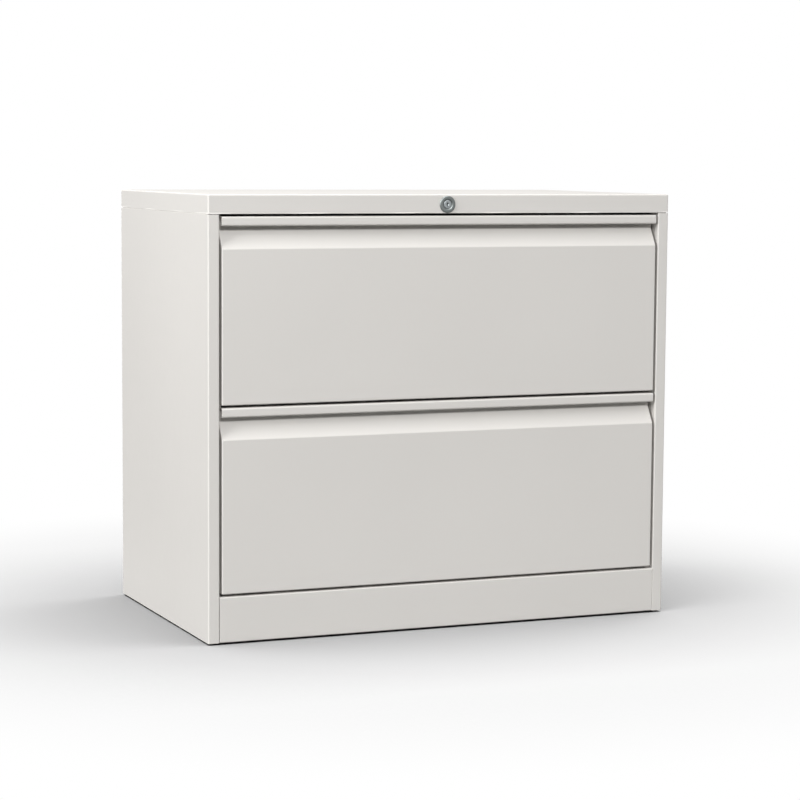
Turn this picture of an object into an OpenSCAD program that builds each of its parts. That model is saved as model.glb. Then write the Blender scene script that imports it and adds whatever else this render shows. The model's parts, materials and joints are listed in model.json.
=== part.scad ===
// Two-drawer side filing cabinet in folded sheet steel, with ball slides and a central lock.
// Millimetres. +X is to the right of someone facing the drawers, the front faces -Y, +Z is up.
// The origin is on the floor, under the middle of the overall box.

/* [Cabinet] */
// Overall width
width = 800; // [720:10:1000]
// Depth of the case, without the lock
depth = 470; // [470:5:520]
// Overall height
height = 700; // [680:5:760]
// Thickness of the sheet steel
sheet = 1; // [0.8:0.1:1.2]
// Outside radius of a fold
fold_r = 2; // [1.6:0.1:2.2]
// Width of the posts either side of the drawers
stile_w = 18.5; // [17.5:0.5:22]
// Height of the top's edge
cap_lip = 30; // [28:1:36]
// Open seam under the top's edge
cap_seam = 1; // [1:0.5:3]
// Height of the plinth's top edge above the floor
plinth_h = 75; // [70:5:100]
// Gap between the floor and the case, which stands on its feet
floor_gap = 3; // [2:0.5:4]

/* [Drawers] */
// Gap round each drawer front
reveal = 4; // [3:0.5:6]
// Thickness of a drawer front, from its face to its back
front_t = 30; // [29.5:0.5:32]
// Height of the pull rail at the top of a drawer front
rail_h = 15; // [12:0.5:16]
// How far the finger recess goes back
recess_d = 17; // [14:0.5:22]
// Height of the sloping panel that leads up into the recess
bevel_h = 28; // [26:1:34]
// Height of the open slot under the pull rail
finger_gap = 7; // [6:0.5:12]
// Height of a tray's sides above the bottom of its front
tray_top = 236; // [200:2:236]

/* [Slides] */
// Length of the moving members
slide_len = 400; // [380:5:400]
// Thickness of a closed slide
slide_t = 12.7; // [12.7:0.1:13.2]
// Height of a slide's centre above the bottom of its drawer front
slide_z = 100; // [80:5:140]

/* [Lock] */
// How far the lock's rim stands out of the top's edge
lock_proud = 2; // [1.5:0.5:3]
// Height of the lock's axis above the bottom of the top's edge
lock_up = 14; // [14:0.5:15]
// Radius of the crank at the back end of the lock rod
crank_r = 9; // [8:0.5:9]

/* [Hidden] */
$fn = 64;
bend_steps = 6;
eps = 0.01;
LEFT = -1;
RIGHT = 1;

// Case: half widths, the front and back planes, and the levels
half_w = width / 2;
front_y = -(depth + lock_proud) / 2 + lock_proud;
back_y = front_y + depth;
cap_z = height - cap_lip;
side_top = cap_z - cap_seam;
clear_w = half_w - stile_w;
stile_return = 32;
hem = 6;
joggle = 4;
rear_flange = 19;
flange_y = back_y - joggle;
tongue_z = [side_top - 12, height - 8];
upright_z = [plinth_h - sheet, tongue_z[0]];
upright_l = 45;
upright_pitch = 345;
upright_front_y = front_y + stile_return + 7;
upright_rear_y = upright_front_y + upright_pitch;
bead_w = 24;
bead_d = 4;
bead_z = [plinth_h + 25, cap_z - 35];
top_rail_head = 27;
top_rail_foot = 12;
bottom_flange = 16;
plinth_hairline = 0.3;
plinth_shelf = 30;
plinth_return = 20;
plinth_rear_return = 15;

// Drawers: the levels of the two fronts, and the points of a front's outline
front_h = (cap_z - plinth_h - 3 * reveal) / 2;
lower_z = plinth_h + reveal;
upper_z = lower_z + front_h + reveal;
front_hw = clear_w - reveal;
recess_z = front_h - rail_h - finger_gap;
crease_z = recess_z - bevel_h;
edge_r = 2;
crease_r = 4;
rail_fold_r = 3;
rail_lip = 7;

// Slides: x positions are measured from the middle of the case out to the wall
wall_x = clear_w;
tray_hw = wall_x - slide_t;
slide_y = front_y + front_t + 1;
member_t = 1.2;
outer_hh = 22.8;
middle_hh = 17.2;
inner_hh = 12;
middle_web = 1.8;
flange_w = 10;
outer_ball_r = 1.9;
inner_ball_r = 1.7;
outer_ball_z = (outer_hh - member_t + middle_hh) / 2;
inner_ball_z = (middle_hh - member_t + inner_hh) / 2;
outer_ball_x = wall_x - 6.2;
inner_ball_x = wall_x - 7.5;
cage_y = slide_y + 123;
cage_l = 150;
ball_pitch = 25;
tab_z = 12;
buffer_l = 5;
buffer_hh = 10;

// Trays
tray_y0 = front_y + front_t;
tray_y1 = tray_y0 + slide_len + 8;
tray_z = 12;
tray_hem = 10;
tray_flange = 18;
back_flange = 12;
file_rail_y = 193.5;
file_rail_t = 2;
file_rail_lug = 3;
file_rail_drop = 14;
screw_r = 2;
screw_hole_r = 2.1;
head_r = 4;
head_h = 2.4;
cross_l = 4.4;
cross_w = 0.8;
cross_deep = 1.2;
liner_screw_z = [40, 150, 205];
back_screw_z = [40, 205];

// Lock: the rod turns a quarter turn, 45 degrees each side of level, and lifts the bar
lock_z = cap_z + lock_up;
crank_a = 45;
crank_t = 3;
crank_w = 10;
pin_r = 2.5;
slot_play = 0.5;
barrel_r = 9.5;
barrel_flat = 8;
core_r = 7;
core_l = 28;
bezel_r = 13.5;
rod_r = 3;
running = 0.05;
bar_t = 2;
bar_w = 24;
bar_x = -crank_r * (1 + cos(crank_a)) / 2;
bar_y = flange_y - 6;
crank_y = bar_y - 6;
tongue_w = 14;
tongue_l = 14;
tongue_gap = 1.5;
tongue_y = tray_y1 + 8;
striker_up = tray_top - 21;
striker_t = 1.5;
striker_l = 17;
striker_drop = 20;
striker_side = 8;
window_play = 1.5;
guide_wall = 5;
guide_h = 12;
clip_t = 1.5;
rim_chamfer = 0.8;

// Feet
foot_x = clear_w - 37;
foot_y = 195;
pad_r = 16;
pad_h = 7;
shoulder_z = 12;
stem_r = 4;
stem_l = 40;
bracket_t = 3;
bracket_z = shoulder_z + 0.3;
bracket_hw = 22;
bracket_hl = 20;
boss_h = 12;
boss_r = 8;
pad_chamfer = 1.5;
pad_edge = 4.5;
pad_top_r = 9;
spanner_r = 7.5;

// --- Outlines -----------------------------------------------------------------------------

function unit(v) = v / norm(v);
function left_of(d) = [-d.y, d.x];
function reversed(list) = [for (i = [len(list) - 1 : -1 : 0]) list[i]];

// Signed turn, in degrees, from direction d0 to direction d1
function turn_of(d0, d1) = atan2(d0.x * d1.y - d0.y * d1.x, d0 * d1);

// Arc of radius r that rounds the corner p, moved off to the left of the line
function bend(p, d0, d1, r, off = 0) = let (
    turn = turn_of(d0, d1),
    side = sign(turn),
    n0 = left_of(d0),
    centre = p + side * r * (n0 + left_of(d1)) / (1 + n0 * left_of(d1)),
    start = atan2(n0.y, n0.x),
    reach = off - side * r
) [for (k = [0 : bend_steps])
    centre + reach * [cos(start + turn * k / bend_steps), sin(start + turn * k / bend_steps)]];

// One face of a folded sheet: the path with its corners rounded, moved off to the left
function sheet_face(path, t, r, off) = let (
    last = len(path) - 1,
    dirs = [for (i = [0 : last - 1]) unit(path[i + 1] - path[i])]
) concat(
    [path[0] + off * left_of(dirs[0])],
    [for (i = [1 : last - 1]) each bend(path[i], dirs[i - 1], dirs[i],
        turn_of(dirs[i - 1], dirs[i]) > 0 ? r : r - t, off)],
    [path[last] + off * left_of(dirs[last - 1])]
);

// Section of a folded sheet of thickness t, which lies to the left of its path
function folded(path, t = sheet, r = fold_r) =
    concat(sheet_face(path, t, r, 0), reversed(sheet_face(path, t, r, t)));

// Closed outline with each corner rounded by its own radius, or left sharp by 0
function rounded(corners, radii) = let (n = len(corners)) [
    for (i = [0 : n - 1]) let (
        p = corners[i],
        d0 = unit(p - corners[(i + n - 1) % n]),
        d1 = unit(corners[(i + 1) % n] - p)
    ) each radii[i] > 0 ? bend(p, d0, d1, radii[i]) : [p]
];

function box_corners(a, b) = [[a.x, a.y], [b.x, a.y], [b.x, b.y], [a.x, b.y]];

// --- Extrusions and small shapes ------------------------------------------------------------

// Plate between two opposite corners
module plate(a, b) {
    translate(a)
        cube(b - a);
}

// The outline is (x, y), and is extruded upwards
module along_z(z0, z1) {
    translate([0, 0, z0])
        linear_extrude(z1 - z0)
            children();
}

// The outline is (y, z), and is extruded to the right
module along_x(x0, x1) {
    translate([x0, 0, 0])
        rotate([90, 0, 90])
            linear_extrude(x1 - x0)
                children();
}

// The outline is (x, z), and is extruded to the back
module along_y(y0, y1) {
    translate([0, y1, 0])
        rotate([90, 0, 0])
            linear_extrude(y1 - y0)
                children();
}

// Round bar or bore along +Y
module rod_y(x, y0, y1, z, r) {
    translate([x, y1, z])
        rotate([90, 0, 0])
            cylinder(h = y1 - y0, r = r);
}

// Shapes are drawn for the right-hand side; the left-hand one is their mirror image
module on_side(side) {
    mirror([side == LEFT ? 1 : 0, 0, 0])
        children();
}

// Pan-head screw along -Y, with its head's underside at y = 0 and a cross recess
module pan_screw(length) {
    difference() {
        union() {
            rod_y(0, -length, 0, 0, screw_r);
            rod_y(0, 0, head_h / 2, 0, head_r);
            translate([0, head_h / 2, 0])
                rotate([-90, 0, 0])
                    cylinder(h = head_h / 2, r1 = head_r, r2 = head_r - 1.2);
        }
        for (a = [0, 90])
            rotate([0, a, 0])
                translate([-cross_l / 2, head_h - cross_deep, -cross_w / 2])
                    cube([cross_l, cross_deep + 1, cross_w]);
    }
}

// --- Case -----------------------------------------------------------------------------------

// Block with rounded upper edges and corners, inset from the outside of the top by t
module cap_block(t) {
    r = fold_r + 0.5 - t;
    lo = [-half_w + t, front_y + t];
    hi = [half_w - t, back_y - t];
    below = cap_z - (t > 0 ? 1 : 0);
    top = height - t;
    intersection() {
        along_z(below, top)
            polygon(rounded(box_corners(lo, hi), [r, r, r, r]));
        along_x(lo.x, hi.x)
            polygon(rounded(box_corners([lo.y, below], [hi.y, top]), [0, 0, r, r]));
        along_y(lo.y, hi.y)
            polygon(rounded(box_corners([lo.x, below], [hi.x, top]), [0, 0, r, r]));
    }
}

module top_panel() {
    color("gainsboro")
        difference() {
            union() {
                difference() {
                    cap_block(0);
                    cap_block(sheet);
                }
                along_x(-half_w + 5, half_w - 5)
                    polygon(folded([[front_y + sheet / 2, cap_z], [front_y + 12, cap_z],
                        [front_y + 12, cap_z + 8]], sheet, 1.5));
            }
            rod_y(0, front_y - 1, front_y + 14, lock_z, barrel_r + 0.1);
        }
}

module side_panel(side) {
    plan = folded([
        [clear_w, front_y + stile_return],
        [clear_w, front_y],
        [half_w, front_y],
        [half_w, back_y],
        [half_w - hem, back_y],
        [half_w - hem, flange_y],
        [half_w - hem - rear_flange, flange_y]
    ]);
    on_side(side)
        difference() {
            union() {
                along_z(floor_gap, side_top)
                    polygon(plan);
                plate([half_w - 2 * sheet, front_y + 5, tongue_z[0]],
                    [half_w - sheet, back_y - 8, tongue_z[1]]);
                plate([clear_w + sheet / 2, front_y + 2, floor_gap],
                    [half_w - sheet / 2, back_y - 10, floor_gap + sheet]);
            }
            for (z = back_screw_levels())
                rod_y(back_screw_x(), flange_y - 3, flange_y + 1, z, screw_hole_r);
        }
}

module side_panel_left() {
    color("gainsboro")
        side_panel(LEFT);
}

module side_panel_right() {
    color("gainsboro")
        side_panel(RIGHT);
}

function back_screw_x() = half_w - hem - rear_flange / 2;
function back_screw_levels() = let (low = 40, high = side_top - 28)
    [for (i = [0 : 4]) low + (high - low) * i / 4];

// Trapezoid bead pressed into the back panel, inset by t and open to the back when t is above 0
module back_bead(x, t) {
    deep = flange_y - bead_d + 1 + t;
    shallow = flange_y + (t > 0 ? sheet + 1 : eps);
    hw = bead_w / 2 - t * (sqrt(2) - 1);
    wide = hw + shallow - deep;
    along_z(bead_z[0] + t, bead_z[1] - t)
        polygon([[x - wide, shallow], [x - hw, deep], [x + hw, deep], [x + wide, shallow]]);
}

module back_panel() {
    hw = half_w - hem - fold_r;
    color("silver")
        difference() {
            union() {
                plate([-hw, flange_y, floor_gap], [hw, flange_y + sheet, height - 4]);
                for (x = [-1, 1] * half_w / 2)
                    back_bead(x, 0);
            }
            for (x = [-1, 1] * half_w / 2)
                back_bead(x, sheet);
            for (x = [-1, 1] * back_screw_x(), z = back_screw_levels())
                rod_y(x, flange_y - 1, flange_y + 3, z, screw_hole_r);
        }
}

module back_screws() {
    color("lightsteelblue")
        for (x = [-1, 1] * back_screw_x(), z = back_screw_levels())
            translate([x, flange_y + sheet, z])
                pan_screw(9);
}

module bottom_panel() {
    top = plinth_h - sheet;
    hw = half_w - sheet - 0.1;
    color("silver") {
        along_y(front_y + stile_return + 2, flange_y - sheet - 0.1)
            polygon(folded([[hw, top - bottom_flange], [hw, top],
                [-hw, top], [-hw, top - bottom_flange]]));
        plate([-clear_w + 0.5, front_y + 6, top - sheet],
            [clear_w - 0.5, front_y + stile_return + 2 + eps, top]);
    }
}

module plinth_front() {
    hw = clear_w - plinth_hairline;
    color("gainsboro")
        along_x(-hw, hw)
            polygon(folded([[front_y + plinth_shelf, plinth_h], [front_y, plinth_h],
                [front_y, floor_gap], [front_y + plinth_return, floor_gap]]));
}

module plinth_rear() {
    hw = half_w - hem - rear_flange - 0.5;
    top = plinth_h - 2 * sheet;
    color("silver")
        along_x(-hw, hw)
            polygon(folded([[flange_y - plinth_rear_return, floor_gap], [flange_y, floor_gap],
                [flange_y, top], [flange_y - plinth_rear_return, top]]));
}

module upright(side, y0) {
    difference() {
        on_side(side)
            along_z(upright_z[0], upright_z[1])
                polygon(folded([[half_w - sheet, y0 + upright_l], [wall_x, y0 + upright_l],
                    [wall_x, y0], [half_w - sheet, y0]]));
        for (z0 = [lower_z, upper_z], dz = [-1, 1] * tab_z)
            on_side(side)
                plate([wall_x - 1, y0 + upright_l / 2 - 6, z0 + slide_z + dz - 4.5],
                    [wall_x + 2 * sheet, y0 + upright_l / 2 + 6, z0 + slide_z + dz + 1.7]);
    }
}

module upright_front_left() {
    color("darkgray")
        upright(LEFT, upright_front_y);
}

module upright_front_right() {
    color("darkgray")
        upright(RIGHT, upright_front_y);
}

module upright_rear_left() {
    color("darkgray")
        upright(LEFT, upright_rear_y);
}

module upright_rear_right() {
    color("darkgray")
        upright(RIGHT, upright_rear_y);
}

module top_rail_front() {
    hw = half_w - 2 * sheet;
    web_y = front_y + stile_return - 1;
    color("darkgray")
        difference() {
            along_x(-hw, hw)
                polygon(folded([[web_y - top_rail_foot, cap_z + sheet], [web_y, cap_z + sheet],
                    [web_y, height - sheet], [web_y - top_rail_head, height - sheet]]));
            rod_y(0, web_y - 3, web_y + 2, lock_z, rod_r + 1);
        }
}

module top_rail_rear() {
    hw = half_w - 2 * sheet;
    web_y = tray_y1 + sheet;
    color("darkgray")
        difference() {
            along_x(-hw, hw)
                polygon(folded([[web_y + top_rail_head - 4, height - sheet], [web_y, height - sheet],
                    [web_y, cap_z + sheet], [web_y + top_rail_foot - 1, cap_z + sheet]]));
            rod_y(0, web_y - 2, web_y + 3, lock_z, rod_r + running);
        }
}

// --- Feet -----------------------------------------------------------------------------------

// Folded bracket with a threaded boss, under the bottom panel
module foot_brackets() {
    top = plinth_h - 2 * sheet;
    color("darkgray")
        for (x = [-1, 1] * foot_x, y = [-1, 1] * foot_y)
            translate([x, y, 0])
                difference() {
                    union() {
                        along_y(-bracket_hl, bracket_hl)
                            polygon(folded([[-bracket_hw, top], [-bracket_hw, bracket_z],
                                [bracket_hw, bracket_z], [bracket_hw, top]], bracket_t, bracket_t + 1));
                        translate([0, 0, bracket_z])
                            cylinder(h = boss_h, r = boss_r);
                    }
                    translate([0, 0, bracket_z - 1])
                        cylinder(h = boss_h + 2, r = stem_r + running);
                }
}

// Levelling foot: moulded pad, spanner flats and threaded stem
module foot(x, y) {
    translate([x, y, 0]) {
        cylinder(h = pad_chamfer, r1 = pad_r - pad_chamfer, r2 = pad_r);
        translate([0, 0, pad_chamfer - eps])
            cylinder(h = pad_edge - pad_chamfer, r = pad_r);
        translate([0, 0, pad_edge - 2 * eps])
            cylinder(h = pad_h - pad_edge, r1 = pad_r, r2 = pad_top_r);
        translate([0, 0, pad_h - 1])
            cylinder(h = shoulder_z - pad_h + 1, r = spanner_r, $fn = 6);
        translate([0, 0, shoulder_z - 1])
            cylinder(h = stem_l, r = stem_r);
    }
}

module foot_front_left() {
    color("dimgray")
        foot(-foot_x, -foot_y);
}

module foot_front_right() {
    color("dimgray")
        foot(foot_x, -foot_y);
}

module foot_rear_left() {
    color("dimgray")
        foot(-foot_x, foot_y);
}

module foot_rear_right() {
    color("dimgray")
        foot(foot_x, foot_y);
}

// --- Slides ---------------------------------------------------------------------------------

module slide_section(side, y0, length, z, outline) {
    on_side(side)
        translate([0, 0, z])
            along_y(y0, y0 + length)
                polygon(outline);
}

// Fixed member, hooked into the uprights by lanced tabs
module outer_member(side, z0) {
    web = wall_x;
    outline = folded([[web - flange_w, -outer_hh + 2.8], [web - flange_w, -outer_hh],
        [web, -outer_hh], [web, outer_hh],
        [web - flange_w, outer_hh], [web - flange_w, outer_hh - 2.8]], member_t, member_t + 0.4);
    slide_section(side, slide_y, slide_len + 6, z0 + slide_z, outline);
    for (y = [upright_front_y, upright_rear_y], dz = [-1, 1] * tab_z)
        on_side(side)
            translate([web, y + upright_l / 2, z0 + slide_z + dz]) {
                plate([-0.5, -5, -1], [3.5, 5, 1]);
                plate([1.5, -5, -4], [3.5, 5, 0]);
            }
}

module middle_member(side, z0) {
    web = wall_x - middle_web;
    outline = folded([[web - flange_w + 1.6, -middle_hh], [web, -middle_hh],
        [web, middle_hh], [web - flange_w + 1.6, middle_hh]], member_t, member_t + 0.4);
    slide_section(side, slide_y, slide_len, z0 + slide_z, outline);
}

// Moving member, fixed to the outside of the tray
module inner_member(side, z0) {
    outline = folded([[tray_hw + 8.7, inner_hh], [tray_hw, inner_hh],
        [tray_hw, -inner_hh], [tray_hw + 8.7, -inner_hh]], member_t, member_t + 0.4);
    slide_section(side, slide_y, slide_len, z0 + slide_z, outline);
}

// Two strips of balls, above and below the inner of the two members they run between
module ball_cage(side, z0, x, z, r) {
    on_side(side)
        for (s = [-1, 1])
            translate([x, cage_y, z0 + slide_z + s * z]) {
                plate([-2, 0, -0.4], [2, cage_l, 0.4]);
                for (y = [ball_pitch / 2 : ball_pitch : cage_l])
                    translate([0, y, 0])
                        sphere(r = r);
            }
}

module outer_ball_cages(z0) {
    color("lightsteelblue")
        for (side = [LEFT, RIGHT])
            ball_cage(side, z0, outer_ball_x, outer_ball_z, outer_ball_r);
}

module inner_ball_cages(z0) {
    color("lightsteelblue")
        for (side = [LEFT, RIGHT])
            ball_cage(side, z0, inner_ball_x, inner_ball_z, inner_ball_r);
}

module outer_ball_cages_upper() {
    outer_ball_cages(upper_z);
}

module inner_ball_cages_upper() {
    inner_ball_cages(upper_z);
}

module outer_ball_cages_lower() {
    outer_ball_cages(lower_z);
}

module inner_ball_cages_lower() {
    inner_ball_cages(lower_z);
}

module outer_member_upper_left() {
    color("lightsteelblue")
        outer_member(LEFT, upper_z);
}

module outer_member_upper_right() {
    color("lightsteelblue")
        outer_member(RIGHT, upper_z);
}

module outer_member_lower_left() {
    color("lightsteelblue")
        outer_member(LEFT, lower_z);
}

module outer_member_lower_right() {
    color("lightsteelblue")
        outer_member(RIGHT, lower_z);
}

module middle_member_upper_left() {
    color("lightslategray")
        middle_member(LEFT, upper_z);
}

module middle_member_upper_right() {
    color("lightslategray")
        middle_member(RIGHT, upper_z);
}

module middle_member_lower_left() {
    color("lightslategray")
        middle_member(LEFT, lower_z);
}

module middle_member_lower_right() {
    color("lightslategray")
        middle_member(RIGHT, lower_z);
}

module inner_member_upper_left() {
    color("lightsteelblue")
        inner_member(LEFT, upper_z);
}

module inner_member_upper_right() {
    color("lightsteelblue")
        inner_member(RIGHT, upper_z);
}

module inner_member_lower_left() {
    color("lightsteelblue")
        inner_member(LEFT, lower_z);
}

module inner_member_lower_right() {
    color("lightsteelblue")
        inner_member(RIGHT, lower_z);
}

// Rubber blocks in the back ends of the fixed members, which the drawers close against
module slide_buffers() {
    color("dimgray")
        for (side = [LEFT, RIGHT], z0 = [lower_z, upper_z])
            on_side(side)
                plate([tray_hw + 0.8, slide_y + slide_len + 0.4, z0 + slide_z - buffer_hh],
                    [wall_x - member_t, slide_y + slide_len + 0.4 + buffer_l, z0 + slide_z + buffer_hh]);
}

// --- Drawers --------------------------------------------------------------------------------

// Side outline of a drawer front, inset by t, open to the back when t is above 0
module front_outline(z0, t) {
    back = front_y + front_t + (t > 0 ? 1 : 0);
    face = front_y + t;
    recess = front_y + recess_d + t;
    slope = atan2(bevel_h, recess_d);
    shift = t * tan((90 - slope) / 2);
    polygon(rounded([
        [face, z0 + t],
        [face, z0 + crease_z - shift],
        [recess, z0 + recess_z - shift],
        [recess, z0 + front_h - sheet + (t > 0 ? 1 : 0)],
        [back, z0 + front_h - sheet + (t > 0 ? 1 : 0)],
        [back, z0 + t]
    ], [edge_r - t, crease_r - t, edge_r + t, 0, 0, 0]));
}

// Extent of a drawer front seen from above, with its upright front edges rounded
module front_plan(z0, t) {
    lo = [-front_hw + t, front_y + t];
    hi = [front_hw - t, front_y + front_t + 2];
    along_z(z0 - 1, z0 + front_h + 1)
        polygon(rounded(box_corners(lo, hi), [edge_r - t, edge_r - t, 0, 0]));
}

// Pressed pan: flat face, sloping panel and the back wall of the finger recess
module drawer_front(z0) {
    color("gainsboro")
        difference() {
            intersection() {
                along_x(-front_hw, front_hw)
                    front_outline(z0, 0);
                front_plan(z0, 0);
            }
            intersection() {
                along_x(-front_hw + sheet, front_hw - sheet)
                    front_outline(z0, sheet);
                front_plan(z0, sheet);
            }
        }
}

module drawer_front_upper() {
    drawer_front(upper_z);
}

module drawer_front_lower() {
    drawer_front(lower_z);
}

// Screws through the liner's and the back's flanges into a tray's sides, as [y, z above its front]
function drawer_screw_places() = concat(
    [for (z = liner_screw_z) [tray_y0 + tray_flange / 2, z]],
    [for (z = back_screw_z) [tray_y1 - back_flange / 2, z]]
);

module drawer_screw_holes(z0) {
    for (x = [-1, 1] * (tray_hw - sheet), p = drawer_screw_places())
        translate([x - 3, p.x, z0 + p.y])
            rotate([0, 90, 0])
                cylinder(h = 6, r = screw_hole_r);
}

// Flat sheet that closes the back of the pan, with a welded flange inside each side of the tray
module front_liner(z0) {
    color("silver")
        difference() {
            union() {
                plate([-front_hw + sheet, tray_y0 - sheet, z0 + sheet],
                    [front_hw - sheet, tray_y0, z0 + front_h - sheet]);
                for (side = [LEFT, RIGHT])
                    on_side(side)
                        plate([tray_hw - 2 * sheet, tray_y0 - eps, z0 + tray_z + 8],
                            [tray_hw - sheet, tray_y0 + tray_flange, z0 + tray_top - 12]);
            }
            drawer_screw_holes(z0);
        }
}

module front_liner_upper() {
    front_liner(upper_z);
}

module front_liner_lower() {
    front_liner(lower_z);
}

// Rolled rail across the top of a front, with its lower edge turned in for the fingers
module pull_rail(z0) {
    top = z0 + front_h;
    color("whitesmoke")
        along_x(-front_hw, front_hw)
            polygon(folded([[front_y + front_t, top], [front_y, top], [front_y, top - rail_h],
                [front_y + rail_lip, top - rail_h], [front_y + rail_lip, top - rail_h + rail_lip]],
                sheet, rail_fold_r));
}

module pull_rail_upper() {
    pull_rail(upper_z);
}

module pull_rail_lower() {
    pull_rail(lower_z);
}

// Trough folded from one sheet, with its upper edges turned in and down
module tray(z0) {
    inner = tray_hw - tray_hem;
    top = z0 + tray_top;
    color("silver")
        difference() {
            along_y(tray_y0, tray_y1)
                polygon(folded([
                    [-inner, top - 8], [-inner, top], [-tray_hw, top],
                    [-tray_hw, z0 + tray_z], [tray_hw, z0 + tray_z],
                    [tray_hw, top], [inner, top], [inner, top - 8]
                ]));
            drawer_screw_holes(z0);
        }
}

module tray_upper() {
    tray(upper_z);
}

module tray_lower() {
    tray(lower_z);
}

// Back of a tray, with its ends folded forward inside the tray's sides
module tray_back(z0) {
    hw = tray_hw - sheet;
    color("silver")
        difference() {
            along_z(z0 + tray_z + sheet, z0 + tray_top - sheet - 0.2)
                polygon(folded([[hw, tray_y1 - back_flange], [hw, tray_y1 + sheet],
                    [-hw, tray_y1 + sheet], [-hw, tray_y1 - back_flange]]));
            drawer_screw_holes(z0);
        }
}

module tray_back_upper() {
    tray_back(upper_z);
}

module tray_back_lower() {
    tray_back(lower_z);
}

// Flat bar on edge that suspension files hang from; its ends rest on the tray's hems
module file_rail(z0, y) {
    inner = tray_hw - tray_hem;
    top = z0 + tray_top;
    color("lightsteelblue") {
        plate([-inner + 0.5, y - file_rail_t / 2, top - file_rail_drop],
            [inner - 0.5, y + file_rail_t / 2, top + file_rail_lug]);
        plate([-tray_hw + 3, y - file_rail_t / 2, top],
            [tray_hw - 3, y + file_rail_t / 2, top + file_rail_lug]);
    }
}

module file_rail_front_upper() {
    file_rail(upper_z, -file_rail_y);
}

module file_rail_rear_upper() {
    file_rail(upper_z, file_rail_y);
}

module file_rail_front_lower() {
    file_rail(lower_z, -file_rail_y);
}

module file_rail_rear_lower() {
    file_rail(lower_z, file_rail_y);
}

// Angle bracket behind a tray; the lock bar's tongue rises through its window
module lock_striker(z0) {
    z = z0 + striker_up;
    y0 = tray_y1 + sheet;
    hw = tongue_w / 2 + striker_side;
    color("lightsteelblue")
        difference() {
            along_x(bar_x - hw, bar_x + hw)
                polygon(folded([[y0 + striker_l, z], [y0, z], [y0, z - striker_drop]],
                    striker_t, striker_t + 0.5));
            plate([bar_x - tongue_w / 2 - window_play, tongue_y - window_play, z - 3],
                [bar_x + tongue_w / 2 + window_play, tongue_y + bar_t + window_play, z + 3]);
        }
}

module lock_striker_upper() {
    lock_striker(upper_z);
}

module lock_striker_lower() {
    lock_striker(lower_z);
}

module drawer_screws(z0) {
    color("lightsteelblue")
        for (side = [LEFT, RIGHT], p = drawer_screw_places())
            on_side(side)
                translate([tray_hw - 2 * sheet, p.x, z0 + p.y])
                    rotate([0, 0, 90])
                        pan_screw(5);
}

module drawer_screws_upper() {
    drawer_screws(upper_z);
}

module drawer_screws_lower() {
    drawer_screws(lower_z);
}

// --- Lock -----------------------------------------------------------------------------------

module lock_housing() {
    color("slategray")
        difference() {
            union() {
                rod_y(0, front_y - lock_proud + rim_chamfer, front_y, lock_z, bezel_r);
                translate([0, front_y - lock_proud, lock_z])
                    rotate([-90, 0, 0])
                        cylinder(h = rim_chamfer, r1 = bezel_r - rim_chamfer, r2 = bezel_r);
                intersection() {
                    rod_y(0, front_y - eps, front_y + core_l - 1, lock_z, barrel_r);
                    plate([-barrel_flat, front_y - 1, lock_z - 20],
                        [barrel_flat, front_y + core_l, lock_z + 20]);
                }
            }
            rod_y(0, front_y - lock_proud - 1, front_y + core_l, lock_z, core_r + running);
        }
}

// Forked spring clip that holds the barrel against the inside of the top's edge
module lock_clip() {
    color("lightsteelblue")
        difference() {
            plate([-barrel_flat - 4, front_y + sheet, lock_z - 10],
                [barrel_flat + 4, front_y + sheet + clip_t, lock_z + 13]);
            plate([-barrel_flat - 0.1, front_y, lock_z - 11], [barrel_flat + 0.1, front_y + 5, lock_z + 10]);
        }
}

// Core that the key turns
module lock_cylinder() {
    color("lightslategray")
        difference() {
            rod_y(0, front_y - lock_proud + 0.3, front_y + core_l, lock_z, core_r);
            translate([0, front_y - lock_proud, lock_z]) {
                plate([-0.8, -1, -4.2], [0.8, 9, 4.2]);
                plate([-1.5, -1, -1.2], [0.8, 9, 1.2]);
            }
        }
}

// Torque rod from the core to a crank at the back; its pin works in the lock bar's slot
module lock_rod() {
    color("silver") {
        rod_y(0, front_y + core_l, crank_y + crank_t, lock_z, rod_r);
        translate([0, crank_y, lock_z])
            rotate([0, 180 - crank_a, 0])
                crank_arm();
    }
}

// Crank with its pin on +X, turned into place by the rod
module crank_arm() {
    rod_y(0, 0, crank_t, 0, 6.5);
    rod_y(crank_r, 0, crank_t, 0, crank_w / 2);
    plate([0, 0, -crank_w / 2], [crank_r, crank_t, crank_w / 2]);
    rod_y(crank_r, crank_t - eps, bar_y - crank_y + bar_t + 2, 0, pin_r);
}

// Vertical bar behind the drawers, with a tongue for each drawer's striker
module lock_bar() {
    pin_z = lock_z - crank_r * sin(crank_a);
    slot_hw = (crank_r - crank_r * cos(crank_a)) / 2 + pin_r + slot_play;
    low = lower_z + striker_up - 30;
    color("silver")
        difference() {
            union() {
                plate([bar_x - bar_w / 2, bar_y, low],
                    [bar_x + bar_w / 2, bar_y + bar_t, pin_z + pin_r + slot_play + 4]);
                for (z0 = [lower_z, upper_z])
                    lock_tongue(z0 + striker_up - striker_t);
            }
            plate([bar_x - slot_hw, bar_y - 1, pin_z - pin_r - slot_play],
                [bar_x + slot_hw, bar_y + bar_t + 1, pin_z + pin_r + slot_play]);
        }
}

// Tongue whose tip waits just below the underside of a striker at height z
module lock_tongue(z) {
    tip = z - tongue_gap;
    along_x(bar_x - tongue_w / 2, bar_x + tongue_w / 2)
        polygon(folded([[tongue_y, tip], [tongue_y, tip - tongue_l], [bar_y + eps, tip - tongue_l]],
            bar_t, bar_t + 1));
}

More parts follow.
